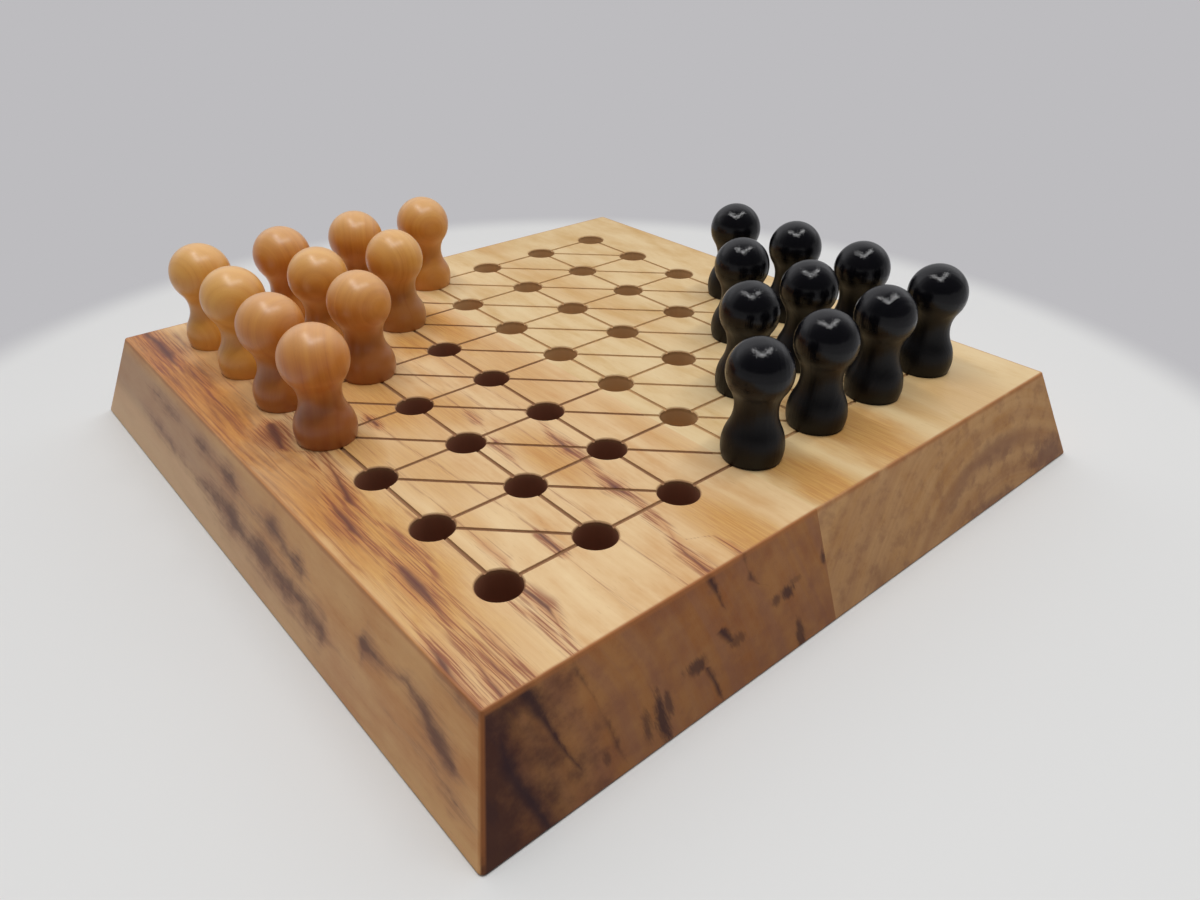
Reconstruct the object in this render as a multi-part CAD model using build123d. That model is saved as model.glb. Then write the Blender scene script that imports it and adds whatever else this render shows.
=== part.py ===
"""Halma board game: a bevelled wooden peg board glued up from two planks, and its turned pawns.

The board lies in X and Y with its underside at Z = 0, and the origin is the centre of the underside.
The grain runs along Y. The natural pawns stand in the corner at -X +Y, the black ones at +X -Y.
All sizes are in millimetres.
"""
import os

from build123d import *

# Hole pattern
holes_per_side = 7
hole_pitch = 25.0
hole_diameter = 10.0
hole_depth = 13.0
hole_rim_chamfer = 0.35

# Board, with each margin measured on the top face from the edge to the outer hole centres
board_thickness = 26.3
margin_left = 21.1
margin_right = 23.9
margin_front = 24.7
margin_back = 20.3
long_side_flare = 8.7
end_side_flare = 9.9
top_corner_radius = 0.8
bottom_corner_radius = 1.2
top_edge_round = 0.4
bottom_edge_round = 0.5

# Glue seam between the two planks, placed by the wall it leaves beside a column of holes
seam_column = 3
seam_wall = 1.25

# Lines carved between the holes
line_width = 1.1
line_depth = 0.6

# Pawns
camp_rows = 4
spigot_clearance = 0.3
spigot_end_gap = 3.0
spigot_chamfer = 0.6
foot_overlap = 2.3
base_bulge = 0.55
base_height = 3.2
waist_diameter = 10.7
waist_below_ball = 1.2
natural_ball_diameter = 17.2
natural_pawn_height = 30.4
black_ball_diameter = 16.3
black_pawn_height = 31.0

# Sizes that follow from the ones above
hole_radius = hole_diameter / 2
pattern_length = (holes_per_side - 1) * hole_pitch
top_size_x = margin_left + pattern_length + margin_right
top_size_y = margin_front + pattern_length + margin_back
seam_x = -top_size_x / 2 + margin_left + seam_column * hole_pitch - hole_radius - seam_wall


def hole_x(column):
    """X of a column of holes, counted from the left."""
    return -top_size_x / 2 + margin_left + column * hole_pitch


def hole_y(row):
    """Y of a row of holes, counted from the front."""
    return -top_size_y / 2 + margin_front + row * hole_pitch


def board_block():
    """The plain board: a block whose sides flare out towards the underside."""
    bottom = RectangleRounded(
        top_size_x + 2 * long_side_flare, top_size_y + 2 * end_side_flare, bottom_corner_radius
    )
    top = RectangleRounded(top_size_x, top_size_y, top_corner_radius)
    block = loft([bottom, Pos(0, 0, board_thickness) * top], ruled=True)
    block = fillet(block.faces().sort_by(Axis.Z)[-1].edges(), top_edge_round)
    return fillet(block.faces().sort_by(Axis.Z)[0].edges(), bottom_edge_round)


def hole_cutter(column, row):
    """A blind peg hole with its rim broken."""
    bore = Cylinder(hole_radius, hole_depth, align=(Align.CENTER, Align.CENTER, Align.MAX))
    rim = Cone(
        hole_radius,
        hole_radius + hole_rim_chamfer,
        hole_rim_chamfer,
        align=(Align.CENTER, Align.CENTER, Align.MAX),
    )
    return Pos(hole_x(column), hole_y(row), board_thickness) * (bore + rim)


def line_cutter(start, end):
    """A round-bottomed gouge along the top face between two points."""
    gouge_radius = (line_width**2 / 4 + line_depth**2) / (2 * line_depth)
    axis_z = board_thickness - line_depth + gouge_radius
    path = Line((*start, axis_z), (*end, axis_z))
    section = Plane(path @ 0, z_dir=path % 0) * Circle(gouge_radius)
    return extrude(section, path.length)


def row_lines():
    """One line through every row of holes."""
    last = holes_per_side - 1
    return [
        line_cutter((hole_x(0), hole_y(row)), (hole_x(last), hole_y(row)))
        for row in range(holes_per_side)
    ]


def column_lines():
    """One line through every column of holes."""
    last = holes_per_side - 1
    return [
        line_cutter((hole_x(column), hole_y(0)), (hole_x(column), hole_y(last)))
        for column in range(holes_per_side)
    ]


def diagonal_lines():
    """One slanting line through every run of holes from the left back to the right front."""
    last = holes_per_side - 1
    lines = []
    for column_and_row in range(1, 2 * last):
        start_column = max(0, column_and_row - last)
        end_column = min(column_and_row, last)
        start = (hole_x(start_column), hole_y(column_and_row - start_column))
        end = (hole_x(end_column), hole_y(column_and_row - end_column))
        lines.append(line_cutter(start, end))
    return lines


def board():
    """The whole board with its holes and lines."""
    holes = [
        hole_cutter(column, row)
        for column in range(holes_per_side)
        for row in range(holes_per_side)
    ]
    return board_block() - holes - row_lines() - column_lines() - diagonal_lines()


def pawn(ball_diameter, height):
    """A pawn turned in one piece, standing at the origin with its spigot below Z = 0."""
    spigot_radius = hole_radius - spigot_clearance
    spigot_length = hole_depth - spigot_end_gap
    foot_radius = hole_radius + foot_overlap
    base_radius = foot_radius + base_bulge
    waist_radius = waist_diameter / 2
    ball_radius = ball_diameter / 2
    ball_z = height - ball_radius
    waist_z = ball_z - ball_radius - waist_below_ball

    # The hollow of the neck touches the ball where their centres line up
    drop = ball_z - waist_z
    neck_radius = (waist_radius**2 + drop**2 - ball_radius**2) / (2 * (ball_radius - waist_radius))
    share = ball_radius / (ball_radius + neck_radius)
    neck_top = (share * (waist_radius + neck_radius), ball_z - share * drop)

    middle = ((base_radius + waist_radius) / 2, (base_height + waist_z) / 2)

    spigot = Polyline(
        (0, height),
        (0, -spigot_length),
        (spigot_radius - spigot_chamfer, -spigot_length),
        (spigot_radius, -spigot_length + spigot_chamfer),
        (spigot_radius, 0),
        (foot_radius, 0),
    )
    foot_round = TangentArc((base_radius, base_height), (foot_radius, 0), tangent=(0, -1))
    lower_bell = TangentArc((base_radius, base_height), middle, tangent=(0, 1))
    upper_bell = TangentArc((waist_radius, waist_z), middle, tangent=(0, -1))
    neck = TangentArc((waist_radius, waist_z), neck_top, tangent=(0, 1))
    ball = ThreePointArc(neck_top, (ball_radius, ball_z), (0, height))

    outline = spigot + foot_round + lower_bell + upper_bell + neck + ball
    return revolve(Plane.XZ * make_face(outline), Axis.Z)


def camp_places():
    """Column and row of each pawn in the camp at the left back corner, from the corner outwards."""
    last = holes_per_side - 1
    return [
        (column, row)
        for column in range(camp_rows)
        for row in range(last, last - camp_rows + column, -1)
    ]


def pieces():
    """Every piece of the game by name, in place."""
    whole_board = board()
    seam = Plane.YZ.offset(seam_x)
    made = {
        "plank_left": split(whole_board, bisect_by=seam, keep=Keep.BOTTOM),
        "plank_right": split(whole_board, bisect_by=seam, keep=Keep.TOP),
    }
    natural = pawn(natural_ball_diameter, natural_pawn_height)
    black = pawn(black_ball_diameter, black_pawn_height)
    for number, (column, row) in enumerate(camp_places(), start=1):
        natural_place = Pos(hole_x(column), hole_y(row), board_thickness)
        black_place = Pos(hole_x(row), hole_y(column), board_thickness)
        made[f"natural_pawn_{number:02}"] = natural_place * natural
        made[f"black_pawn_{number:02}"] = black_place * black
    return made


os.makedirs("parts", exist_ok=True)
for name, shape in pieces().items():
    export_step(shape, f"parts/{name}.step")
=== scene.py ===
"""Dresses the halma board game: two planks of oiled wood and twenty lacquered pawns.

Sizes in the materials are in millimetres. The lamps, the table's mesh and the camera are in metres.
Noise takes a place times a factor per millimetre, so x * 0.1 makes bumps about 10 mm across. Where
one of its three numbers is the same all over, that number only picks another pattern.
"""

from functools import partial, reduce
from math import cos, radians, sin
from types import SimpleNamespace

import bpy
from mathutils import Matrix, Vector


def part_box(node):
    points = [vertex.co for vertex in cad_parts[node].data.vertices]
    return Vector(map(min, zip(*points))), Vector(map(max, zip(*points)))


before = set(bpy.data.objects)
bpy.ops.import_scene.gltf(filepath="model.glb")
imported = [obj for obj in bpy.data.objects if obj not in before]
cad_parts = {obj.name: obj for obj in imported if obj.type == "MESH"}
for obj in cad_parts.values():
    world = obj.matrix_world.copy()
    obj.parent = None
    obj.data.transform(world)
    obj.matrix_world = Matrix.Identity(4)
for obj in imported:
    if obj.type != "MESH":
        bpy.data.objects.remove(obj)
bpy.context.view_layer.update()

MM = 1000


def node_centre(node):
    """Where a piece stands, in millimetres."""
    low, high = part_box(node)
    return (low + high) / 2 * MM


# Places read from the frame, in millimetres
BOARD_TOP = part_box("plank_left")[1].z * MM
BOTTOM_HALF_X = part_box("plank_right")[1].x * MM
BOTTOM_HALF_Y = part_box("plank_right")[1].y * MM
CAMP_ROWS = 4
CORNER_PAWN = node_centre("natural_pawn_01")
SIDE_PAWN = node_centre(f"natural_pawn_{CAMP_ROWS:02}")
FAR_PAWN = node_centre("black_pawn_01")
HOLE_PITCH = (CORNER_PAWN.y - SIDE_PAWN.y) / (CAMP_ROWS - 1)
PATTERN_CENTRE_X = (CORNER_PAWN.x + FAR_PAWN.x) / 2
PATTERN_CENTRE_Y = (CORNER_PAWN.y + FAR_PAWN.y) / 2
PATTERN_HALF = (FAR_PAWN.x - CORNER_PAWN.x) / 2

# The top face is square, and the four sides lean outwards below it
TOP_HALF = 97.5


def srgb(red, green, blue):
    """A colour seen as 0 to 255 on screen, as Blender's linear colour."""
    linear = []
    for level in (red, green, blue):
        share = level / 255
        linear.append(share / 12.92 if share <= 0.04045 else ((share + 0.055) / 1.055) ** 2.4)
    return (*linear, 1.0)


class Wire:
    """A number, vector or colour that flows out of a node, and that can be used in sums."""

    def __init__(self, graph, socket):
        self.graph = graph
        self.socket = socket

    def __add__(self, other):
        return self.graph.math("ADD", self, other)

    def __radd__(self, other):
        return self.graph.math("ADD", other, self)

    def __sub__(self, other):
        return self.graph.math("SUBTRACT", self, other)

    def __rsub__(self, other):
        return self.graph.math("SUBTRACT", other, self)

    def __mul__(self, other):
        return self.graph.math("MULTIPLY", self, other)

    def __truediv__(self, other):
        return self.graph.math("DIVIDE", self, other)


class Graph:
    """A node tree, built by short calls that each return what flows out."""

    def __init__(self, owner):
        self.owner = owner
        owner.use_nodes = True
        self.tree = owner.node_tree
        self.tree.nodes.clear()

    def node(self, kind, inputs, **settings):
        """Adds a node with these settings, and feeds its inputs by name or number."""
        made = self.tree.nodes.new(kind)
        for key, value in settings.items():
            setattr(made, key, value)
        for key, value in inputs.items():
            if isinstance(value, Wire):
                self.tree.links.new(value.socket, made.inputs[key])
            else:
                made.inputs[key].default_value = value
        return made

    def wire(self, kind, inputs, output=0, **settings):
        """Adds a node, and returns what flows out of one of its outputs."""
        return Wire(self, self.node(kind, inputs, **settings).outputs[output])

    def math(self, operation, first, second=0.0):
        return self.wire("ShaderNodeMath", {0: first, 1: second}, operation=operation)

    def size(self, value):
        """The value without its sign."""
        return self.math("ABSOLUTE", value)

    def length(self, first, second):
        """The length of a line with these two sides."""
        return self.math("SQRT", first * first + second * second)

    def most(self, *values):
        """The largest of the values."""
        return reduce(partial(self.math, "MAXIMUM"), values)

    def least(self, *values):
        """The smallest of the values."""
        return reduce(partial(self.math, "MINIMUM"), values)

    def between(self, share, first, second):
        """The first number where the share is 0, and the second where it is 1."""
        return share * (second - first) + first

    def swing(self, noise, amount):
        """Noise around 0.5 turned into a number around 0, up to half the amount either way."""
        return (noise - 0.5) * amount

    def rise(self, value, low, high):
        """0 where the value is under low, 1 where it is over high, and smooth between."""
        inputs = {"Value": value, "From Min": low, "From Max": high}
        return self.wire("ShaderNodeMapRange", inputs, interpolation_type="SMOOTHSTEP")

    def near(self, value, centre, reach, soft):
        """1 where the value is within reach of the centre, fading to 0 over the soft width."""
        return 1.0 - self.rise(self.size(value - centre), reach, reach + soft)

    def split(self, vector):
        """The three parts of a vector."""
        parts = self.node("ShaderNodeSeparateXYZ", {0: vector})
        return [Wire(self, socket) for socket in parts.outputs]

    def position(self):
        """X, Y and Z of the shaded point in millimetres, in the object's own frame."""
        return [part * MM for part in self.split(self.wire("ShaderNodeTexCoord", {}, "Object"))]

    def noise(self, x, y, z, detail=2.0, roughness=0.5):
        """Cloudy values around 0.5, whose bumps are about one unit of the inputs across."""
        place = self.wire("ShaderNodeCombineXYZ", {0: x, 1: y, 2: z})
        inputs = {"Vector": place, "Scale": 1.0, "Detail": detail, "Roughness": roughness}
        return self.wire("ShaderNodeTexNoise", inputs, "Fac")

    def mix(self, factor, first, second, blend_type="MIX"):
        """The first colour where the factor is 0, and the second where it is 1."""
        inputs = {0: factor, 6: first, 7: second}
        return self.wire("ShaderNodeMix", inputs, 2, data_type="RGBA", blend_type=blend_type)

    def tint(self, colour, glass):
        """The colour as seen through glass of another colour."""
        return self.mix(1.0, colour, glass, "MULTIPLY")

    def lay(self, mask, colour, coat):
        """Lays a coat, which is a colour and its strength, over a colour where the mask is 1."""
        coat_colour, strength = coat
        return self.mix(mask * strength, colour, coat_colour)

    def ramp(self, factor, stops):
        """A colour for each place along the factor, from pairs of place and colour."""
        made = self.node("ShaderNodeValToRGB", {0: factor})
        elements = made.color_ramp.elements
        while len(elements) < len(stops):
            elements.new(1.0)
        for element, (place, colour) in zip(elements, stops):
            element.position = place
            element.color = colour
        return Wire(self, made.outputs[0])

    def bump(self, height, strength, distance):
        """A normal tilted by a height, where the distance is in metres."""
        inputs = {"Height": height, "Strength": strength, "Distance": distance}
        return self.wire("ShaderNodeBump", inputs)

    def end_in(self, kind, shader):
        """Ends the tree in its output node."""
        output = self.node(kind, {})
        self.tree.links.new(shader.socket, output.inputs["Surface"])
        return self.owner

    def finish(self, **inputs):
        """Ends a material in one shader. Underscores in the names stand for spaces."""
        named = {key.replace("_", " "): value for key, value in inputs.items()}
        return self.end_in("ShaderNodeOutputMaterial", self.wire("ShaderNodeBsdfPrincipled", named))


def material_graph(name):
    return Graph(bpy.data.materials.new(name))


# Streaks in the left plank, one list for each line of fibres. Each point gives Y, where the
# line's layer meets the top face, half its width, and how dark it is from 0 to 1.
LINE_BY_THE_LEFT_EDGE = [
    (-97.0, -89.4, 0.5, 0.75),
    (-90.0, -89.8, 0.55, 0.8),
    (-84.0, -89.3, 0.4, 0.55),
    (-80.0, -89.2, 0.35, 0.3),
    (-76.0, -89.9, 0.5, 0.6),
    (-70.0, -89.4, 0.7, 0.85),
    (-63.0, -89.0, 1.0, 1.0),
    (-56.0, -88.6, 0.8, 0.9),
    (-51.0, -88.5, 0.5, 0.6),
    (-44.0, -89.7, 0.5, 0.65),
    (-37.0, -90.2, 0.9, 0.95),
    (-29.0, -89.4, 0.8, 0.85),
    (-22.0, -88.5, 0.5, 0.55),
    (-14.0, -87.3, 0.3, 0.0),
    (20.0, -91.2, 0.3, 0.0),
    (27.0, -91.0, 0.5, 0.55),
    (35.0, -91.0, 0.45, 0.55),
    (44.0, -90.6, 0.5, 0.55),
    (53.0, -89.3, 0.5, 0.55),
    (64.0, -88.8, 0.4, 0.35),
    (69.0, -88.6, 0.3, 0.0),
]
LINE_THROUGH_THE_SIDE_PAWN = [
    (-98.0, -86.0, 0.5, 0.7),
    (-93.0, -86.5, 0.5, 0.7),
    (-85.0, -86.3, 0.5, 0.65),
    (-79.0, -86.1, 0.4, 0.45),
    (-71.0, -86.0, 0.35, 0.2),
    (-64.0, -85.4, 0.45, 0.45),
    (-57.0, -83.6, 0.55, 0.65),
    (-48.0, -83.8, 0.7, 0.75),
    (-41.0, -84.6, 0.5, 0.5),
    (-36.0, -85.4, 0.4, 0.35),
    (-31.0, -85.4, 0.6, 0.7),
    (-27.0, -85.3, 0.8, 0.95),
    (-16.0, -83.3, 0.7, 0.85),
    (-5.0, -80.9, 0.5, 0.6),
    (1.0, -80.2, 0.3, 0.0),
    (12.0, -79.6, 0.3, 0.1),
    (18.0, -79.6, 0.4, 0.4),
    (25.0, -79.6, 0.3, 0.0),
]
LINE_WITH_THE_BLOTCH = [
    (-13.0, -85.4, 0.3, 0.0),
    (-8.0, -84.6, 0.5, 0.65),
    (-2.0, -83.2, 0.4, 0.5),
    (1.0, -86.0, 0.4, 0.1),
    (4.0, -87.7, 0.9, 0.9),
    (11.0, -86.3, 1.5, 1.0),
    (17.0, -85.3, 1.2, 1.0),
    (22.0, -84.8, 0.4, 0.0),
]
LINE_AT_THE_FRONT_CORNER = [
    (-97.0, -93.0, 0.6, 0.85),
    (-90.0, -92.0, 0.5, 0.75),
    (-81.0, -91.3, 0.5, 0.55),
    (-75.0, -91.0, 0.3, 0.0),
    (60.0, -92.2, 0.4, 0.0),
    (68.0, -91.8, 0.8, 0.75),
    (77.0, -91.1, 1.3, 1.0),
    (87.0, -90.7, 1.1, 0.95),
    (97.0, -91.4, 1.0, 0.9),
]
LINE_ALONG_THE_EDGE = [
    (-98.0, -97.6, 0.7, 0.9),
    (-91.0, -97.4, 0.8, 0.9),
    (-84.0, -96.3, 0.9, 0.95),
    (-77.5, -95.3, 0.6, 0.65),
    (-71.0, -95.0, 0.3, 0.0),
    (62.0, -96.0, 0.4, 0.0),
    (69.0, -96.2, 0.8, 0.7),
    (78.0, -95.8, 0.7, 0.6),
    (86.0, -95.4, 0.4, 0.0),
]
LINE_BY_THE_FRONT_HOLE = [
    (-96.0, -76.0, 0.35, 0.3),
    (-91.0, -75.0, 0.4, 0.5),
    (-84.0, -73.3, 0.6, 0.9),
    (-77.0, -73.7, 0.5, 0.9),
    (-72.0, -72.6, 0.3, 0.2),
    (-67.0, -71.2, 0.5, 0.6),
    (-60.0, -71.3, 0.5, 0.6),
    (-54.0, -71.3, 0.3, 0.0),
]
LINE_BELOW_THE_FRONT_HOLE = [
    (-98.0, -77.3, 0.4, 0.4),
    (-93.0, -77.1, 0.4, 0.5),
    (-87.0, -76.6, 0.5, 0.6),
    (-81.0, -77.4, 0.4, 0.5),
    (-75.0, -77.6, 0.3, 0.0),
]
LINE_THROUGH_THE_MIDDLE = [
    (-97.0, -41.6, 0.6, 0.85),
    (-89.5, -41.3, 0.55, 0.8),
    (-85.0, -39.9, 0.5, 0.6),
    (-80.5, -37.9, 0.5, 0.55),
    (-73.0, -36.8, 0.5, 0.6),
    (-67.0, -36.0, 0.6, 0.75),
    (-62.0, -35.9, 0.9, 1.0),
    (-55.0, -35.2, 0.5, 0.55),
    (-48.0, -34.0, 0.5, 0.6),
    (-42.0, -34.0, 0.8, 0.9),
    (-34.5, -32.9, 0.6, 0.8),
    (-29.0, -31.5, 0.4, 0.35),
    (-24.0, -31.0, 0.3, 0.0),
]
LINE_BESIDE_THE_MIDDLE = [
    (-98.0, -32.5, 0.4, 0.75),
    (-93.0, -32.2, 0.4, 0.6),
    (-89.0, -32.5, 0.3, 0.0),
    (-86.0, -38.6, 0.3, 0.0),
    (-81.0, -38.9, 0.4, 0.6),
    (-75.0, -38.3, 0.45, 0.65),
    (-69.0, -37.6, 0.3, 0.0),
]
LINE_BEHIND_THE_MIDDLE = [
    (-41.0, -48.2, 0.4, 0.0),
    (-36.0, -47.4, 0.55, 0.4),
    (-31.0, -46.5, 0.6, 0.5),
    (-27.5, -45.8, 0.6, 0.85),
    (-24.0, -45.4, 0.3, 0.0),
    (-19.5, -43.9, 0.3, 0.0),
    (-16.0, -43.4, 0.5, 0.65),
    (-10.5, -42.8, 0.5, 0.65),
    (-6.5, -42.4, 0.3, 0.0),
]
FINE_CRACKS = [
    (-76.0, -60.9, 0.3, 0.0),
    (-73.0, -60.8, 0.35, 0.95),
    (-64.5, -59.9, 0.35, 0.95),
    (-62.0, -59.7, 0.3, 0.0),
    (-5.0, -64.3, 0.3, 0.0),
    (-1.0, -64.3, 0.45, 0.9),
    (4.0, -64.3, 0.5, 0.95),
    (8.0, -64.3, 0.3, 0.0),
]
UPPER_LINE_ON_THE_SIDE = [
    (-101.0, -106.0, 0.5, 0.1),
    (-94.0, -105.6, 0.9, 0.95),
    (-84.0, -103.8, 1.0, 1.0),
    (-76.0, -102.5, 0.8, 0.75),
    (-70.0, -103.2, 0.7, 0.6),
    (-60.0, -103.3, 1.0, 1.0),
    (-55.0, -103.2, 0.4, 0.0),
    (-38.0, -103.2, 0.4, 0.0),
    (-32.0, -103.1, 1.0, 0.9),
    (-25.0, -102.5, 0.9, 0.75),
    (-15.0, -102.0, 1.2, 0.95),
    (-2.0, -102.6, 0.8, 0.4),
    (9.0, -101.4, 1.1, 0.9),
    (20.0, -101.5, 0.9, 0.7),
    (31.0, -101.3, 1.1, 0.8),
    (38.0, -101.2, 0.7, 0.4),
    (50.0, -101.1, 1.1, 0.7),
    (68.0, -101.1, 1.1, 0.65),
    (80.0, -101.0, 0.6, 0.0),
]
LOWER_LINE_ON_THE_SIDE = [
    (-103.0, -109.0, 0.5, 0.3),
    (-97.0, -108.6, 0.9, 0.75),
    (-89.0, -107.8, 0.8, 0.6),
    (-78.0, -107.7, 0.6, 0.35),
    (-60.0, -108.0, 0.5, 0.15),
    (-49.0, -107.6, 0.6, 0.3),
    (-44.0, -107.4, 1.2, 0.95),
    (-28.0, -107.0, 1.4, 0.9),
    (-12.0, -107.0, 1.5, 1.0),
    (-3.0, -106.8, 1.2, 0.8),
    (7.0, -106.3, 1.6, 1.0),
    (22.0, -106.5, 1.3, 0.8),
    (36.0, -106.6, 0.9, 0.5),
    (48.0, -106.5, 1.0, 0.65),
    (60.0, -105.8, 1.2, 0.7),
    (74.0, -105.4, 1.1, 0.45),
    (86.0, -105.0, 0.6, 0.0),
]
LEFT_STREAKS = [
    LINE_BY_THE_LEFT_EDGE,
    LINE_THROUGH_THE_SIDE_PAWN,
    LINE_WITH_THE_BLOTCH,
    LINE_AT_THE_FRONT_CORNER,
    LINE_ALONG_THE_EDGE,
    LINE_BY_THE_FRONT_HOLE,
    LINE_BELOW_THE_FRONT_HOLE,
    LINE_THROUGH_THE_MIDDLE,
    LINE_BESIDE_THE_MIDDLE,
    LINE_BEHIND_THE_MIDDLE,
    FINE_CRACKS,
    UPPER_LINE_ON_THE_SIDE,
    LOWER_LINE_ON_THE_SIDE,
]

# Dark checks in the front end grain, in the same way, but from the bottom up. Each point gives Z,
# X, half the check's width, and how dark it is from 0 to 1.
CHECK_NEAR_THE_CORNER = [
    (0.0, -91.2, 0.7, 0.9),
    (2.1, -91.8, 0.7, 0.95),
    (8.0, -93.8, 0.7, 0.95),
    (12.0, -95.1, 0.9, 1.0),
    (15.3, -95.6, 0.9, 1.0),
    (19.0, -95.6, 0.7, 0.7),
    (22.0, -95.2, 0.6, 0.55),
    (26.0, -94.6, 0.6, 0.5),
]
CHECK_BESIDE_IT = [
    (5.0, -81.6, 0.3, 0.0),
    (6.7, -82.2, 0.35, 0.6),
    (10.3, -83.8, 0.4, 0.75),
    (14.2, -85.2, 0.45, 0.85),
    (18.1, -86.3, 0.5, 0.9),
    (21.5, -87.5, 0.9, 1.0),
    (24.6, -88.3, 1.1, 1.0),
    (26.3, -88.6, 0.9, 0.9),
]
FAINT_CHECK = [
    (1.0, -71.9, 0.6, 0.3),
    (6.0, -73.4, 0.9, 0.6),
    (9.2, -73.8, 0.9, 0.65),
    (13.9, -74.9, 0.7, 0.45),
    (18.1, -75.9, 0.7, 0.45),
    (23.1, -77.7, 0.9, 0.65),
    (26.0, -78.2, 0.7, 0.4),
]
CHECK_UNDER_THE_MIDDLE = [
    (9.0, -39.2, 0.5, 0.0),
    (11.0, -40.2, 0.9, 0.9),
    (14.2, -42.4, 0.7, 0.95),
    (15.6, -41.6, 0.3, 0.0),
    (16.6, -39.2, 0.3, 0.2),
    (18.9, -40.6, 0.4, 0.7),
    (21.7, -41.3, 0.5, 0.8),
    (25.3, -42.4, 0.7, 0.95),
    (26.3, -42.7, 0.7, 0.95),
]
CHECK_BESIDE_THE_MIDDLE = [
    (16.4, -26.0, 0.4, 0.0),
    (17.4, -27.4, 0.5, 0.4),
    (18.6, -29.6, 0.6, 0.5),
    (20.6, -31.3, 0.9, 0.75),
    (23.0, -31.8, 0.6, 0.45),
    (26.3, -32.3, 0.7, 0.7),
]
CHECK_AT_THE_BOTTOM = [
    (1.0, -46.0, 0.4, 0.5),
    (2.4, -46.3, 0.5, 0.85),
    (5.5, -47.0, 0.45, 0.8),
    (8.9, -48.0, 0.6, 0.9),
    (10.0, -49.5, 0.4, 0.0),
]
CHECK_BY_THE_SEAM = [
    (12.5, -8.2, 0.3, 0.0),
    (14.6, -8.4, 0.6, 0.85),
    (16.0, -8.4, 0.6, 0.85),
    (18.0, -8.3, 0.3, 0.5),
    (20.5, -8.2, 0.3, 0.0),
]
END_CHECKS = [
    CHECK_NEAR_THE_CORNER,
    CHECK_BESIDE_IT,
    FAINT_CHECK,
    CHECK_UNDER_THE_MIDDLE,
    CHECK_BESIDE_THE_MIDDLE,
    CHECK_AT_THE_BOTTOM,
    CHECK_BY_THE_SEAM,
]

# Blots on the front end grain: X, Z, how far each reaches along X and up, and how dark it is
END_BLOTS = [
    (-65.8, 6.0, 1.1, 3.0, 0.7),
    (-61.9, 5.2, 1.5, 5.6, 1.0),
    (-59.7, 7.2, 1.1, 2.8, 0.75),
    (-50.6, 10.6, 3.2, 1.5, 0.85),
    (-38.6, 10.4, 2.2, 1.3, 0.6),
    (-25.4, 13.0, 1.3, 1.2, 0.65),
    (-21.4, 13.2, 2.2, 1.4, 0.9),
    (-18.6, 14.6, 2.2, 0.7, 0.4),
    (-19.9, 2.6, 1.3, 3.4, 0.85),
    (-76.2, 5.2, 0.8, 1.6, 0.6),
    (-95.2, 23.4, 2.8, 3.4, 0.45),
    (-100.6, 10.0, 1.2, 2.5, 0.45),
]

# Painted shade low on the front end of the right plank, by its bottom edge and right corner, in the
# same way. The first blot lies on the dark arch instead, and is darker wood.
RIGHT_END_ARCH_BLOT_AND_LOW_SHADE = [
    (68.0, 13.0, 8.0, 2.5, 0.45),
    (64.0, 1.0, 10.0, 2.0, 0.80),
    (96.0, 3.0, 10.0, 4.5, 0.95),
    (12.0, 2.0, 8.0, 3.0, 0.30),
]

# Patches of amber in the top: X, Y, how far each reaches along X and Y, and its strength. Three
# on the left plank, beside the natural pawns, are partly painted shade and reflection of the pawns.
LEFT_AMBER_AND_SHADE_PATCHES = [
    (-20.0, 12.0, 13.0, 42.0, 0.55),
    # Partly painted shade and reflection of the natural pawns, over amber wood
    (-18.0, 40.0, 8.0, 26.0, 0.95),
    (-58.0, 12.0, 10.0, 30.0, 0.75),
    (-40.0, -42.0, 7.0, 20.0, 0.75),
    (-46.0, -5.0, 8.0, 14.0, 0.65),
    (-26.0, -92.0, 8.0, 24.0, 0.80),
    (-88.0, -50.0, 12.0, 50.0, 0.85),
    (-66.0, -28.0, 9.0, 22.0, 0.45),
    (-70.0, -50.0, 4.0, 14.0, 0.40),
    (-12.0, -45.0, 5.0, 30.0, 0.40),
    # These two are partly painted shade and reflection of the natural pawns, over amber wood
    (-31.0, 36.0, 10.0, 13.0, 0.85),
    (-74.0, -9.0, 8.0, 12.0, 0.70),
]
RIGHT_PATCHES = [
    (2.0, -90.0, 9.0, 26.0, 0.90),
    (28.0, -84.0, 13.0, 30.0, 0.85),
    (50.0, -84.0, 5.0, 22.0, 0.40),
    (33.0, 40.0, 9.0, 62.0, 0.30),
    (36.0, 94.0, 8.0, 10.0, 0.40),
    (66.0, -90.0, 16.0, 16.0, 0.35),
]

# The band of deeper wood along the left edge, in the same way, and then its colours from its
# palest strands to its darkest
LEFT_BAND = [
    (-93.0, 52.0, 12.0, 78.0, 0.95),
    (-92.0, -12.0, 10.0, 40.0, 0.60),
]
BAND_TONES = [
    (0.30, srgb(210, 150, 74)),
    (0.48, srgb(188, 122, 53)),
    (0.60, srgb(160, 96, 44)),
    (0.70, srgb(118, 66, 40)),
]

# How streaks and checks are kept in colour ramps. Each line wavers inside its lane, and its half
# width is a share of the widest. Where it is faint, it counts as so many half widths farther off.
LANE_WIDTH = 12.0
WIDEST = 2.0
SLIMMING = 0.75
LEAST_HALF_WIDTH = 0.08
FAINTNESS = 4.5
STREAK_SPAN_Y = (-110.0, 110.0)
CHECK_SPAN_Z = (-1.0, BOARD_TOP + 1.0)

# Growth layers: how much the left plank's lean, where the pith of the right plank's rings is, and
# how far both wander
LAYER_LEAN = 0.26
PITH_X = 68.0
PITH_Z = -40.0
LAYER_DRIFT = 14.0

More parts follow.
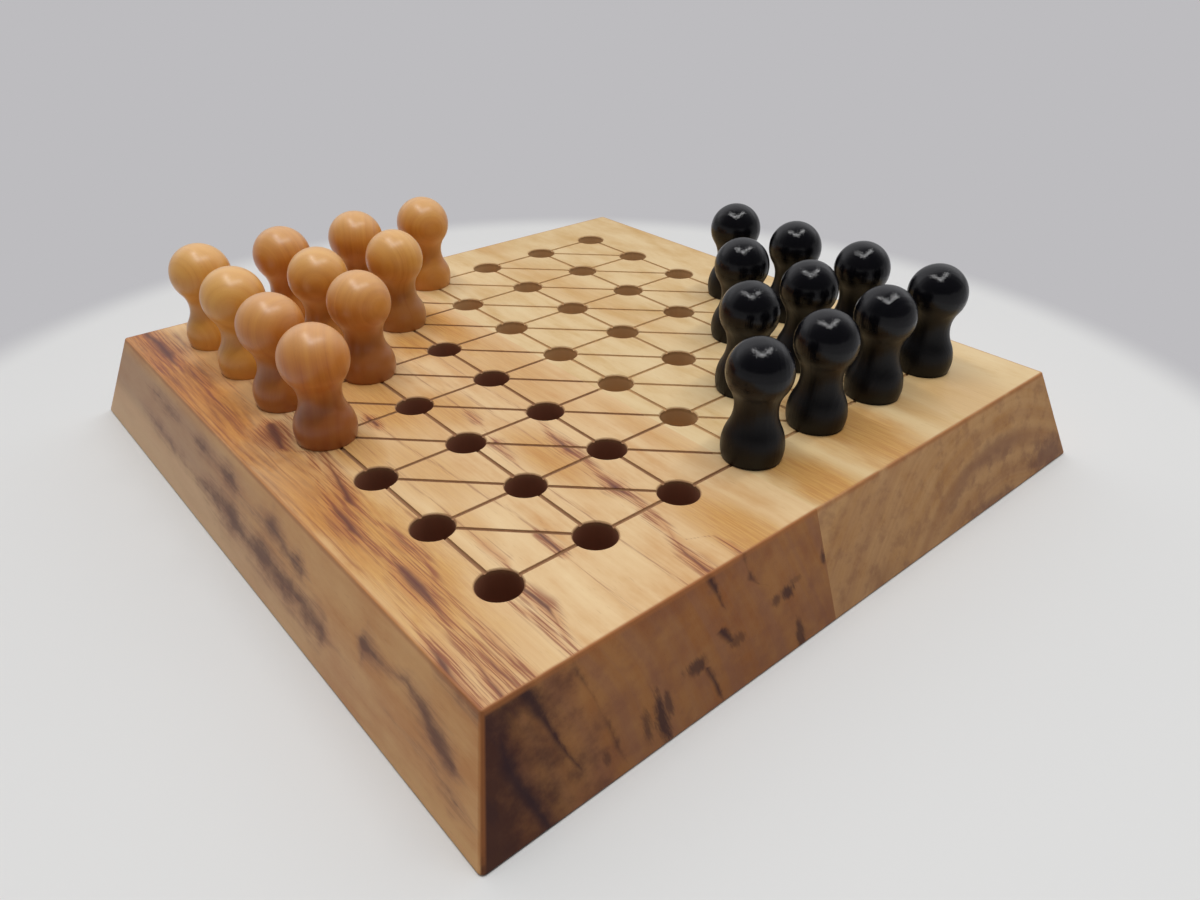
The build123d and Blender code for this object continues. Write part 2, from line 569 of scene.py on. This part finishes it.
# The streaks are a reddish haze, loose strands and solid cores. Each pair is for the top and for
# the long side, where they are softer and more broken. Reaches are in half widths of a line.
HAZE_COLOURS = (srgb(184, 116, 66), srgb(160, 112, 82))
LOOSE_COLOURS = (srgb(138, 76, 50), srgb(134, 88, 62))
CORE_COLOURS = (srgb(84, 42, 40), srgb(90, 50, 38))
HAZE_STRENGTHS = (0.62, 0.42)
LOOSE_STRENGTHS = (0.84, 0.44)
CORE_STRENGTHS = (0.85, 0.79)
STREAK_SPREAD = (1.0, 1.4)
STREAK_CLUMPING = (0.0, 5.0)
STREAK_RAGGEDNESS = (3.6, 4.8)
LOOSE_REACH = (8.0, 6.0)
CORE_REACH = (2.3, 3.2)

# Where loose strands and cores start to fade, what the haze takes of distance and raggedness, and
# how far a streak wanders in millimetres
LOOSE_START = 2.0
CORE_START = 0.1
HAZE_DISTANCE_SHARE = 0.55
HAZE_RAGGED_SHARE = 0.3
STREAK_WANDER = 1.6

# Checks: how ragged they are in half widths, and how much of that they wander in millimetres
CHECK_RAGGEDNESS = 3.2
CHECK_WANDER_SHARE = 0.3

# How much clouds shift the edges of patches and blots
PATCH_CLOUDING = 1.4
BLOT_CLOUDING = 2.2

# Soft edges: the two values between which each mask comes in or fades
FACE_EDGE_MM = (0.1, 0.5)
HAZE_EDGE = (0.3, 3.4)
STRAND_EDGE = (0.46, 0.58)
PATCH_EDGE = (0.35, 1.25)
BLOT_EDGE = (-0.45, 0.60)
CHECK_EDGE = (0.0, 3.5)
TICK_EDGE = (0.66, 0.80)
AMBER_FIBRE_EDGE = (0.35, 0.65)
RING_EDGE = (0.42, 0.68)
BLOTCH_EDGE = (0.46, 0.66)
MAUVE_EDGE = (0.42, 0.66)
LINE_FIBRE_EDGE = (0.3, 0.7)
EDGE_LINE_GAP_EDGE = (0.20, 0.50)

# Paler and greyer wood on the left plank's long side. The pairs say from which Y or share of the
# way down to which it comes in, and the band is its middle, reach and fade on the way down.
PALE_SIDE_Y = (-130.0, 40.0)
PALE_SIDE_DOWN = (0.35, 0.75)
GREY_SIDE_Y = (-30.0, 40.0)
GREY_SIDE_BAND = (0.34, 0.14, 0.22)

# The left plank's dark outer corner: between which distances it comes in, and how far it wanders
CORNER_X = (72.0, 102.0)
CORNER_WANDER = 36.0

# Lines where two faces meet, partly wear and partly painted highlight: half their width and their
# fade in millimetres
TOP_EDGE_WIDTH = (0.30, 0.5)
TOP_EDGE_DEPTH = (0.5, 0.8)
CORNER_EDGE_WIDTH = (0.5, 0.6)

# Depths under the top face, in millimetres, between which the carving shows, its lines turn into
# holes, and the holes darken to their deepest colour with dirt and painted shade. The last pair is
# a height over the underside, which stays plain.
CARVING_DEPTH = (0.05, 0.30)
HOLE_DEPTH = (0.65, 1.6)
HOLE_DIRT_AND_SHADE_DEPTH = (1.0, 7.0)
UNDERSIDE_HEIGHT = (1.0, 2.0)

# The one dark arch in the right plank's end: how far from the pith and around which X it lies, the
# reach and fade of both, how far it wanders, and how strong it is beside the painted shade under it
ARCH_RADIUS = 54.0
ARCH_X = 64.0
ARCH_RADIUS_REACH = (0.2, 4.0)
ARCH_X_REACH = (8.0, 24.0)
ARCH_WANDER = 12.0
ARCH_STRENGTH = 0.55

# What the wood's tone is made of, and the shift that brings it onto the tones
BROAD_SHARE = 0.50
MIDDLING_SHARE = 0.50
CLOUD_SHARE = 0.80
FIBRE_SHARE = 0.12
TONE_SHIFT = 0.46

# Coats laid over the wood, each a colour and its strength
TICK_COAT = (srgb(150, 98, 56), 0.22)
PALE_SIDE_COAT = (srgb(214, 182, 146), 0.6)
GREY_SIDE_COAT = (srgb(160, 132, 114), 0.5)
RING_COAT = (srgb(150, 102, 73), 0.55)
BLOTCH_COAT = (srgb(132, 86, 62), 0.35)
MAUVE_COAT = (srgb(116, 66, 50), 0.35)
CORNER_COAT = (srgb(56, 19, 13), 0.90)
CHECK_COAT = (srgb(44, 16, 24), 0.85)
# The right plank's dark arch, and painted shade low on its front end
ARCH_AND_LOW_SHADE_COAT = (srgb(114, 76, 62), 0.75)
# Partly wear and partly painted highlight where two faces meet
EDGE_WEAR_AND_HIGHLIGHT_COAT = (srgb(172, 106, 54), 0.6)

# Other colours of the wood
AMBER_COLOURS = (srgb(206, 154, 78), srgb(190, 130, 60))
SIDE_TINT = srgb(236, 210, 182)
LOW_END_TINT = srgb(186, 172, 168)
LOW_END_STRENGTH = 0.35
LINE_FIBRE_STRENGTH = 0.6


def left_layer(graph, x, z):
    """The growth layers of the left plank stand nearly upright: one number for each layer."""
    return x + (z - BOARD_TOP) * LAYER_LEAN


def right_layer(graph, x, z):
    """The growth layers of the right plank are rings around a pith below the board."""
    return graph.length(x - PITH_X, z - PITH_Z)


def line_distance(graph, across, along, span, points):
    """How many half widths a point is from a wavering line, and more where the line is faint."""
    low, high = span
    lane = sum(place for _, place, _, _ in points) / len(points)
    stops = []
    for position, place, half_width, dark in points:
        share = (position - low) / (high - low)
        stops.append((share, (0.5 + (place - lane) / LANE_WIDTH, half_width / WIDEST, dark, 1.0)))
    course = graph.ramp((along - low) / (high - low), stops)
    middle, half_width, dark = graph.split(course)
    aside = graph.size(across - lane - (middle - 0.5) * LANE_WIDTH)
    return aside / (half_width * WIDEST * SLIMMING + LEAST_HALF_WIDTH) + (1.0 - dark) * FAINTNESS


def nearest_line(graph, across, along, span, lines):
    """The distance to the nearest of the lines."""
    return graph.least(*[line_distance(graph, across, along, span, points) for points in lines])


def add_streaks(graph, at, colour):
    """Draws the left plank's streaks on its top and long side, and not on its ends."""
    wander = graph.swing(graph.noise(at.layer * 0.12, at.y * 0.10, 3.0), STREAK_WANDER)
    strands = graph.noise(at.layer * 2.0, at.y * 0.055, 8.0, detail=3.0, roughness=0.6)
    clumps = graph.noise(at.layer * 0.45, at.y * 0.13, 12.0, detail=3.0, roughness=0.6)
    clumping = graph.swing(clumps, graph.between(at.side, *STREAK_CLUMPING))
    ragged = graph.swing(strands, graph.between(at.side, *STREAK_RAGGEDNESS))
    distance = nearest_line(graph, at.layer + wander, at.y, STREAK_SPAN_Y, LEFT_STREAKS)
    distance = distance * graph.between(at.side, *STREAK_SPREAD) + clumping

    haze_distance = distance * HAZE_DISTANCE_SHARE + ragged * HAZE_RAGGED_SHARE
    haze = 1.0 - graph.rise(haze_distance, *HAZE_EDGE)
    zone = 1.0 - graph.rise(distance, LOOSE_START, graph.between(at.side, *LOOSE_REACH))
    loose = zone * graph.rise(strands, *STRAND_EDGE)
    core_reach = graph.between(at.side, *CORE_REACH)
    core = 1.0 - graph.rise(distance + ragged, CORE_START, core_reach)
    share = 1.0 - at.end * (1.0 - at.side)
    for mask, colours, strengths in (
        (haze, HAZE_COLOURS, HAZE_STRENGTHS),
        (loose, LOOSE_COLOURS, LOOSE_STRENGTHS),
        (core, CORE_COLOURS, CORE_STRENGTHS),
    ):
        strength = mask * share * graph.between(at.side, *strengths)
        colour = graph.mix(strength, colour, graph.mix(at.side, *colours))
    return colour


def soft_blots(graph, at, clouds, blots):
    """Soft dark places on the front end grain, with clouded edges."""
    found = []
    for centre_x, centre_z, reach_x, reach_z, dark in blots:
        closeness = 1.0 - graph.length((at.x - centre_x) / reach_x, (at.z - centre_z) / reach_z)
        found.append(graph.rise(closeness + graph.swing(clouds, BLOT_CLOUDING), *BLOT_EDGE) * dark)
    return graph.most(*found)


def soft_patches(graph, at, patches):
    """Soft patches on the top, with clouded edges."""
    found = []
    for centre_x, centre_y, reach_x, reach_y, strength in patches:
        distance = graph.length((at.x - centre_x) / reach_x, (at.y - centre_y) / reach_y)
        distance = distance + graph.swing(at.clouds, PATCH_CLOUDING)
        found.append((1.0 - graph.rise(distance, *PATCH_EDGE)) * strength)
    return graph.most(*found)


def checks_and_blots(graph, at):
    """The dark marks of the left plank's front end grain."""
    clouds = graph.noise(at.x * 0.50, at.z * 0.40, 2.0, detail=4.0, roughness=0.65)
    ragged = graph.swing(clouds, CHECK_RAGGEDNESS)
    wandered = at.x + ragged * CHECK_WANDER_SHARE
    distance = nearest_line(graph, wandered, at.z, CHECK_SPAN_Z, END_CHECKS)
    checks = 1.0 - graph.rise(distance + ragged, *CHECK_EDGE)
    across = at.x + at.z * LAYER_LEAN
    strands = graph.noise(across * 0.9, at.z * 0.25, 6.0, detail=4.0, roughness=0.65)
    return graph.most(checks, soft_blots(graph, at, strands, END_BLOTS))


def plank_point(graph, layer_of):
    """What the functions for the wood need to know of the shaded point, in one bundle of wires.
    Down runs from 0 at the top face to 1 at the underside. Side and end are 1 on the sloping faces.
    """
    x, y, z = graph.position()
    layer = layer_of(graph, x, z)
    drift = graph.swing(graph.noise(x * 0.02, y * 0.012, z * 0.02, detail=1.0), LAYER_DRIFT)
    bands = layer + drift
    down = (BOARD_TOP - z) / BOARD_TOP
    inside_long = TOP_HALF + down * (BOTTOM_HALF_X - TOP_HALF) - graph.size(x)
    inside_end = TOP_HALF + down * (BOTTOM_HALF_Y - TOP_HALF) - graph.size(y)
    return SimpleNamespace(
        x=x,
        y=y,
        z=z,
        layer=layer,
        bands=bands,
        down=down,
        inside_long=inside_long,
        inside_end=inside_end,
        side=1.0 - graph.rise(inside_long, *FACE_EDGE_MM),
        end=1.0 - graph.rise(inside_end, *FACE_EDGE_MM),
        front=graph.rise(y * -1.0, 0.0, 1.0),
        middling=graph.noise(bands * 0.30, y * 0.014, 5.0, detail=3.0, roughness=0.6),
        clouds=graph.noise(x * 0.11, y * 0.045, z * 0.11, detail=4.0, roughness=0.62),
        blotches=graph.noise(x * 0.16, 4.0, z * 0.20, detail=4.0, roughness=0.6),
        fibre=graph.noise(x * 2.4, y * 0.09, z * 2.4, detail=3.0, roughness=0.7),
        ticks=graph.noise(x * 3.2, y * 0.30, z * 3.2, detail=1.0),
    )


def plain_wood(graph, at, tones):
    """Broad, middling and fine differences between the growth layers, and small dark ticks."""
    broad = graph.noise(at.bands * 0.05, at.y * 0.006, 1.0)
    layers = broad * BROAD_SHARE + at.middling * MIDDLING_SHARE
    tone = layers + at.clouds * CLOUD_SHARE + at.fibre * FIBRE_SHARE - TONE_SHIFT
    return graph.lay(graph.rise(at.ticks, *TICK_EDGE), graph.ramp(tone, tones), TICK_COAT)


def add_amber_and_shade(graph, at, colour, patches):
    """Lays the patches of amber over the top face. Beside the natural pawns they are partly painted
    shade and reflection.
    """
    amber = soft_patches(graph, at, patches) * (1.0 - graph.most(at.side, at.end))
    amber_colour = graph.mix(graph.rise(at.fibre, *AMBER_FIBRE_EDGE), *AMBER_COLOURS)
    return graph.mix(amber, colour, amber_colour)


def left_marks(graph, at, colour):
    """The left plank's deep band, its streaks, and the paler and greyer wood of its long side."""
    band = soft_patches(graph, at, LEFT_BAND) * (1.0 - at.side)
    loose = graph.noise(at.bands * 0.8, at.y * 0.04, 21.0, detail=4.0, roughness=0.65)
    colour = graph.mix(band, colour, graph.ramp(loose, BAND_TONES))
    pale = graph.rise(at.y, *PALE_SIDE_Y) * graph.rise(at.down, *PALE_SIDE_DOWN) * at.side
    colour = graph.lay(pale, colour, PALE_SIDE_COAT)
    grey = graph.rise(at.y, *GREY_SIDE_Y) * graph.near(at.down, *GREY_SIDE_BAND) * at.side
    colour = graph.lay(grey, colour, GREY_SIDE_COAT)
    return add_streaks(graph, at, colour)


def no_marks(graph, at, colour):
    """The right plank has no marks on its top and long side."""
    return colour


def end_wood(graph, at, colour, tint, ring_factor):
    """End grain soaks up more oil. It has rings and blotches, and is deeper lower down."""
    rings = graph.noise(at.bands * ring_factor, 1.0, 15.0, detail=3.0, roughness=0.6)
    colour = graph.tint(colour, tint)
    colour = graph.lay(graph.rise(rings, *RING_EDGE), colour, RING_COAT)
    colour = graph.lay(graph.rise(at.blotches, *BLOTCH_EDGE), colour, BLOTCH_COAT)
    return graph.mix(at.down * LOW_END_STRENGTH, colour, graph.tint(colour, LOW_END_TINT))


def left_end_marks(graph, at, colour):
    """Mauve clouds, a dark outer corner, and the checks and blots."""
    mauve = graph.noise(at.x * 0.08, 7.0, at.z * 0.09, detail=3.0, roughness=0.6)
    colour = graph.lay(graph.rise(mauve, *MAUVE_EDGE), colour, MAUVE_COAT)
    leftwards = at.x * -1.0 + graph.swing(at.blotches, CORNER_WANDER)
    corner = graph.rise(leftwards, *CORNER_X)
    colour = graph.lay(corner, colour, CORNER_COAT)
    return graph.lay(checks_and_blots(graph, at) * at.front, colour, CHECK_COAT)


def right_end_marks(graph, at, colour):
    """One dark arch, and painted shade low under it."""
    radius = at.layer + graph.swing(at.blotches, ARCH_WANDER)
    ring = graph.near(radius, ARCH_RADIUS, *ARCH_RADIUS_REACH)
    arch = ring * graph.near(at.x, ARCH_X, *ARCH_X_REACH) * ARCH_STRENGTH
    # The dark arch, and painted shade low by the bottom edge
    shade = graph.most(arch, soft_blots(graph, at, at.blotches, RIGHT_END_ARCH_BLOT_AND_LOW_SHADE))
    return graph.lay(shade * at.front, colour, ARCH_AND_LOW_SHADE_COAT)


def edge_wear_and_highlight(graph, at):
    """1 on the thin lines where two faces meet, with gaps in them. They are partly wear and partly
    painted highlight.
    """
    long_edge = graph.near(at.inside_long, 0.0, *TOP_EDGE_WIDTH)
    end_edge = graph.near(at.inside_end, 0.0, *TOP_EDGE_WIDTH)
    top_edge = graph.most(long_edge, end_edge) * graph.near(at.z, BOARD_TOP, *TOP_EDGE_DEPTH)
    by_long = graph.near(at.inside_long, 0.0, *CORNER_EDGE_WIDTH)
    by_end = graph.near(at.inside_end, 0.0, *CORNER_EDGE_WIDTH)
    return graph.most(top_edge, by_long * by_end) * graph.rise(at.clouds, *EDGE_LINE_GAP_EDGE)


def carved_mask(graph, at):
    """1 inside the peg holes and the carved lines, and 0 on the board's outer faces."""
    reach = PATTERN_HALF + HOLE_PITCH / 3
    within_x = graph.near(at.x, PATTERN_CENTRE_X, reach, 1.0)
    within_y = graph.near(at.y, PATTERN_CENTRE_Y, reach, 1.0)
    under_top = graph.rise(BOARD_TOP - at.z, *CARVING_DEPTH)
    over_bottom = graph.rise(at.z, *UNDERSIDE_HEIGHT)
    return within_x * within_y * under_top * over_bottom


def carved_wood(graph, at, line_colours, hole_colours):
    """The deeper brown of the shallow lines, and below them of the holes, which grow darker lower
    down with dirt and painted shade.
    """
    depth = BOARD_TOP - at.z
    fibres = graph.rise(at.fibre, *LINE_FIBRE_EDGE) * LINE_FIBRE_STRENGTH
    in_line = graph.mix(fibres, *line_colours)
    # Lower in the holes the walls darken: partly dirt, partly painted shade
    in_hole = graph.mix(graph.rise(depth, *HOLE_DIRT_AND_SHADE_DEPTH), *hole_colours)
    return graph.mix(graph.rise(depth, *HOLE_DEPTH), in_line, in_hole)


def plank_wood(
    name,
    layer_of,
    tones,
    patches,
    add_marks,
    end_tint,
    ring_factor,
    add_end_marks,
    line_colours,
    hole_colours,
):
    """Oiled wood with its grain along Y. The tones run from the palest to the deepest layer."""
    graph = material_graph(name)
    at = plank_point(graph, layer_of)
    colour = add_amber_and_shade(graph, at, plain_wood(graph, at, tones), patches)
    colour = graph.mix(at.side, colour, graph.tint(colour, SIDE_TINT))
    colour = add_marks(graph, at, colour)
    end_colour = add_end_marks(graph, at, end_wood(graph, at, colour, end_tint, ring_factor))
    colour = graph.mix(at.end, colour, end_colour)
    # Lines where faces meet: partly wear, partly painted highlight
    colour = graph.lay(edge_wear_and_highlight(graph, at), colour, EDGE_WEAR_AND_HIGHLIGHT_COAT)
    carved = carved_mask(graph, at)
    carved_colour = carved_wood(graph, at, line_colours, hole_colours)
    colour = graph.mix(carved, colour, carved_colour)
    return graph.finish(
        Base_Color=colour,
        Roughness=0.42 + at.middling * 0.12 + carved * 0.25 + at.end * 0.25,
        Specular_IOR_Level=0.35,
        Normal=graph.bump(at.fibre + at.ticks * 0.4, strength=0.2, distance=0.0002),
    )


# The pawns' colours. The tones run from the palest to the deepest layer, and a coat is a colour and
# its strength.
HONEY_TONES = [
    (0.25, srgb(232, 173, 80)),
    (0.55, srgb(226, 161, 68)),
    (0.80, srgb(214, 144, 55)),
]
RUSSET_TONES = [
    (0.25, srgb(212, 134, 48)),
    (0.55, srgb(200, 117, 38)),
    (0.80, srgb(184, 100, 31)),
]
# Painted shade that darkens the natural pawns' feet
NATURAL_FOOT_SHADE_COAT = (srgb(130, 68, 28), 0.75)
# Painted sheen that pales the top of the natural pawns' heads
NATURAL_CROWN_SHEEN_COAT = (srgb(235, 195, 134), 0.4)
PORE_COAT = (srgb(150, 84, 42), 0.18)
PORE_EDGE = (0.60, 0.78)
BLACK_TONES = [
    (0.30, srgb(11, 11, 15)),
    (0.80, srgb(16, 15, 19)),
]
# The black pawns' feet are painted blacker, as painted shade
BLACK_FOOT_SHADE_COLOUR = srgb(6, 5, 7)

# Heights above the board between which a pawn's look changes, in millimetres: its painted foot
# shade, its painted sheen on top, and its gloss
NATURAL_FOOT_SHADE_FADE = (7.0, 24.0)
NATURAL_CROWN_SHEEN_FADE = (22.0, 30.0)
BLACK_FOOT_SHADE_FADE = (8.0, 20.0)
BLACK_GLOSS_FADE = (15.0, 28.5)


def pawn_grain(graph, centre, turn):
    """The height above the board, growth layers that run up through a pawn, and its fine fibre.
    Turn is the way the layers face in degrees.
    """
    x, y, z = graph.position()
    across = (x - centre.x) * cos(radians(turn)) + (y - centre.y) * sin(radians(turn))
    along = z * 0.03 + turn
    wander = graph.swing(graph.noise(across * 0.15, along, turn, detail=1.0), 3.0)
    layers = graph.noise((across + wander) * 0.7, along, 2.0, detail=3.0, roughness=0.6)
    fibre = graph.noise(x * 3.0, y * 3.0, z * 0.12, roughness=0.6)
    return z - BOARD_TOP, layers, fibre


def natural_lacquer(name, centre, turn, redness, depth):
    """Clear gloss lacquer on pale wood. Redness runs from 0 for honey to 1 for russet, and depth is
    how much painted shade darkens the foot. The top of the head is paled by a painted sheen.
    """
    graph = material_graph(name)
    height, layers, fibre = pawn_grain(graph, centre, turn)
    foot = 1.0 - graph.rise(height, *NATURAL_FOOT_SHADE_FADE)
    crown_sheen = graph.rise(height, *NATURAL_CROWN_SHEEN_FADE)
    colour = graph.mix(redness, graph.ramp(layers, HONEY_TONES), graph.ramp(layers, RUSSET_TONES))
    # Painted shade: the foot is darkened, by depth for each pawn
    colour = graph.lay(foot * depth, colour, NATURAL_FOOT_SHADE_COAT)
    # Painted sheen: the top of the head is paled as if it caught the lamps' broad highlight
    colour = graph.lay(crown_sheen, colour, NATURAL_CROWN_SHEEN_COAT)
    colour = graph.lay(graph.rise(fibre, *PORE_EDGE), colour, PORE_COAT)
    return graph.finish(
        Base_Color=colour,
        Roughness=0.5,
        Specular_IOR_Level=0.2,
        Coat_Weight=1.0,
        Coat_Roughness=0.33,
        Coat_IOR=1.47,
        Normal=graph.bump(fibre, strength=0.06, distance=0.0001),
    )


def black_lacquer(name, centre, turn):
    """Thick black gloss lacquer, through which the grain shows only as faint waves."""
    graph = material_graph(name)
    height, layers, fibre = pawn_grain(graph, centre, turn)
    # Painted shade: the foot is blacker than the rest
    foot = 1.0 - graph.rise(height, *BLACK_FOOT_SHADE_FADE)
    dull = 1.0 - graph.rise(height, *BLACK_GLOSS_FADE)
    return graph.finish(
        Base_Color=graph.mix(foot, graph.ramp(layers, BLACK_TONES), BLACK_FOOT_SHADE_COLOUR),
        Roughness=0.10 + dull * 0.30,
        Specular_IOR_Level=0.28,
        Normal=graph.bump(layers + fibre * 0.3, strength=0.45, distance=0.0003),
    )


def dress(node, material):
    """Gives a CAD node its finish."""
    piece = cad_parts[node]
    piece.data.materials.clear()
    piece.data.materials.append(material)


# The two planks
LEFT_TONES = [
    (0.25, srgb(232, 202, 154)),
    (0.50, srgb(222, 186, 136)),
    (0.80, srgb(202, 148, 88)),
]
RIGHT_TONES = [
    (0.25, srgb(230, 204, 156)),
    (0.50, srgb(222, 192, 141)),
    (0.80, srgb(202, 160, 94)),
]
LEFT_WOOD = plank_wood(
    "left_plank_wood",
    layer_of=left_layer,
    tones=LEFT_TONES,
    patches=LEFT_AMBER_AND_SHADE_PATCHES,
    add_marks=left_marks,
    end_tint=srgb(190, 154, 122),
    ring_factor=0.22,
    add_end_marks=left_end_marks,
    line_colours=(srgb(168, 125, 87), srgb(135, 97, 68)),
    hole_colours=(srgb(156, 104, 78), srgb(146, 96, 72)),
)
RIGHT_WOOD = plank_wood(
    "right_plank_wood",
    layer_of=right_layer,
    tones=RIGHT_TONES,
    patches=RIGHT_PATCHES,
    add_marks=no_marks,
    end_tint=srgb(224, 198, 178),
    ring_factor=0.13,
    add_end_marks=right_end_marks,
    line_colours=(srgb(204, 164, 115), srgb(165, 129, 90)),
    hole_colours=(srgb(216, 180, 132), srgb(208, 170, 122)),
)
dress("plank_left", LEFT_WOOD)
dress("plank_right", RIGHT_WOOD)

# The natural pawns: the way the grain faces, how red the wood is, and how much painted shade
# darkens its foot
NATURAL_LOOKS = [
    (20, 0.15, 0.10),
    (65, 0.15, 0.15),
    (110, 0.85, 0.70),
    (150, 1.00, 0.90),
    (200, 0.70, 0.40),
    (240, 0.30, 0.60),
    (285, 0.70, 0.90),
    (330, 0.50, 0.80),
    (15, 0.20, 0.90),
    (80, 0.45, 0.35),
]
for number, (turn, redness, depth) in enumerate(NATURAL_LOOKS, start=1):
    node = f"natural_pawn_{number:02}"
    dress(node, natural_lacquer(f"{node}_lacquer", node_centre(node), turn, redness, depth))

BLACK_PAWNS = 10
BLACK_TURN_STEP = 37
for number in range(1, BLACK_PAWNS + 1):
    node = f"black_pawn_{number:02}"
    dress(node, black_lacquer(f"{node}_lacquer", node_centre(node), BLACK_TURN_STEP * number))

# The table is pale near the board. Farther out only an even grey is seen. Its half size is in
# metres.
TABLE_COLOUR = srgb(224, 224, 222)
BACKDROP_GREY = srgb(189, 188, 191)
TABLE_EDGE_MM = (203.0, 228.0)
TABLE_HALF_SIZE = 3.0

# The room's light from its dim front, at 0, to its back wall, at 1
ROOM_LEVELS = [
    (0.00, (0.07, 0.07, 0.075, 1)),
    (0.35, (0.09, 0.09, 0.095, 1)),
    (0.50, (0.18, 0.18, 0.19, 1)),
    (0.65, (0.58, 0.58, 0.60, 1)),
    (0.80, (1.15, 1.15, 1.19, 1)),
    (0.92, (0.80, 0.80, 0.83, 1)),
    (1.00, (0.50, 0.50, 0.52, 1)),
]
BACK_WALL_X = 0.65
BACK_WALL_Y = 0.76
LOW_WALL_LEVEL = (0.42, 0.42, 0.43, 1)
LOW_WALL_TOP = (0.18, 0.32)

# Two strip lamps that meet in a corner, so that their reflection is a bent line
LAMP_CORNER = (-0.20, -0.26)
FRONT_LAMP_END = (0.54, -0.14)
SIDE_LAMP_END = (-0.11, 0.42)
LAMP_HEIGHT = 0.93
LAMP_WIDTH = 0.04
LAMP_WATTS = 3.0


def seen_rays(graph):
    """1 for what is seen, straight, in a mirror or through glass, and 0 for light's own rays."""
    kinds = ("Is Camera Ray", "Is Glossy Ray", "Is Transmission Ray")
    return graph.most(*[graph.wire("ShaderNodeLightPath", {}, kind) for kind in kinds])


def table_material():
    graph = material_graph("pale_table")
    x, y, _ = graph.position()
    table = {"Base Color": TABLE_COLOUR, "Roughness": 0.7}
    near = graph.wire("ShaderNodeBsdfPrincipled", table)
    far = graph.wire("ShaderNodeEmission", {"Color": BACKDROP_GREY, "Strength": 1.0})
    share = graph.rise(graph.length(x, y), *TABLE_EDGE_MM) * seen_rays(graph)
    both = graph.wire("ShaderNodeMixShader", {0: share, 1: near, 2: far})
    return graph.end_in("ShaderNodeOutputMaterial", both)


def add_table():
    """A wide flat table under the board."""
    far = TABLE_HALF_SIZE
    mesh = bpy.data.meshes.new("table")
    corners = [(-far, -far, 0), (far, -far, 0), (far, far, 0), (-far, far, 0)]
    mesh.from_pydata(corners, [], [(0, 1, 2, 3)])
    table = bpy.data.objects.new("table", mesh)
    bpy.context.scene.collection.objects.link(table)
    mesh.materials.append(table_material())


def add_strip_lamp(name, start, end):
    """A long narrow softbox that hangs level between two points and shines down."""
    lamp = bpy.data.lights.new(name, "AREA")
    lamp.shape = "RECTANGLE"
    start = Vector((*start, LAMP_HEIGHT))
    end = Vector((*end, LAMP_HEIGHT))
    lamp.size = (end - start).length
    lamp.size_y = LAMP_WIDTH
    lamp.energy = LAMP_WATTS
    holder = bpy.data.objects.new(name, lamp)
    bpy.context.scene.collection.objects.link(holder)
    holder.location = (start + end) / 2
    holder.rotation_euler = (0.0, 0.0, (end - start).to_2d().angle_signed(Vector((1, 0))))


def add_room():
    """Soft light from all round: dim from the front, and brighter from the back wall."""
    world = bpy.data.worlds.new("room")
    bpy.context.scene.world = world
    graph = Graph(world)
    x, y, z = graph.split(graph.wire("ShaderNodeTexCoord", {}, "Generated"))
    backwards = x * BACK_WALL_X + y * BACK_WALL_Y
    light = graph.ramp(backwards * 0.5 + 0.5, ROOM_LEVELS)
    low_wall = 1.0 - graph.rise(graph.size(z), *LOW_WALL_TOP)
    colour = graph.mix(low_wall, light, LOW_WALL_LEVEL)
    background = graph.wire("ShaderNodeBackground", {"Color": colour, "Strength": 1.0})
    graph.end_in("ShaderNodeOutputWorld", background)


def add_camera():
    """The photograph's view, at its place, direction and field of view."""
    place = (-0.14922, -0.18756, 0.140745)
    heading = radians(49.23)
    tilt = radians(-31.70)
    roll = radians(0.28)
    image_width_px = 1200
    focal_length_px = 882.7
    sensor_width_mm = 36.0
    lens = bpy.data.cameras.new("camera")
    lens.sensor_width = sensor_width_mm
    lens.lens = sensor_width_mm * focal_length_px / image_width_px
    lens.clip_start = 0.005
    camera = bpy.data.objects.new("camera", lens)
    bpy.context.scene.collection.objects.link(camera)
    ahead = Vector((cos(heading) * cos(tilt), sin(heading) * cos(tilt), sin(tilt)))
    right = ahead.cross(Vector((0, 0, 1))).normalized()
    up = right.cross(ahead)
    rolled_right = right * cos(roll) + up * sin(roll)
    rolled_up = up * cos(roll) - right * sin(roll)
    turn = Matrix((rolled_right, rolled_up, -ahead)).transposed()
    camera.matrix_world = Matrix.Translation(place) @ turn.to_4x4()
    bpy.context.scene.camera = camera


add_table()
add_room()
add_strip_lamp("front_strip", LAMP_CORNER, FRONT_LAMP_END)
add_strip_lamp("side_strip", LAMP_CORNER, SIDE_LAMP_END)
add_camera()
bpy.context.scene.view_settings.view_transform = "Standard"
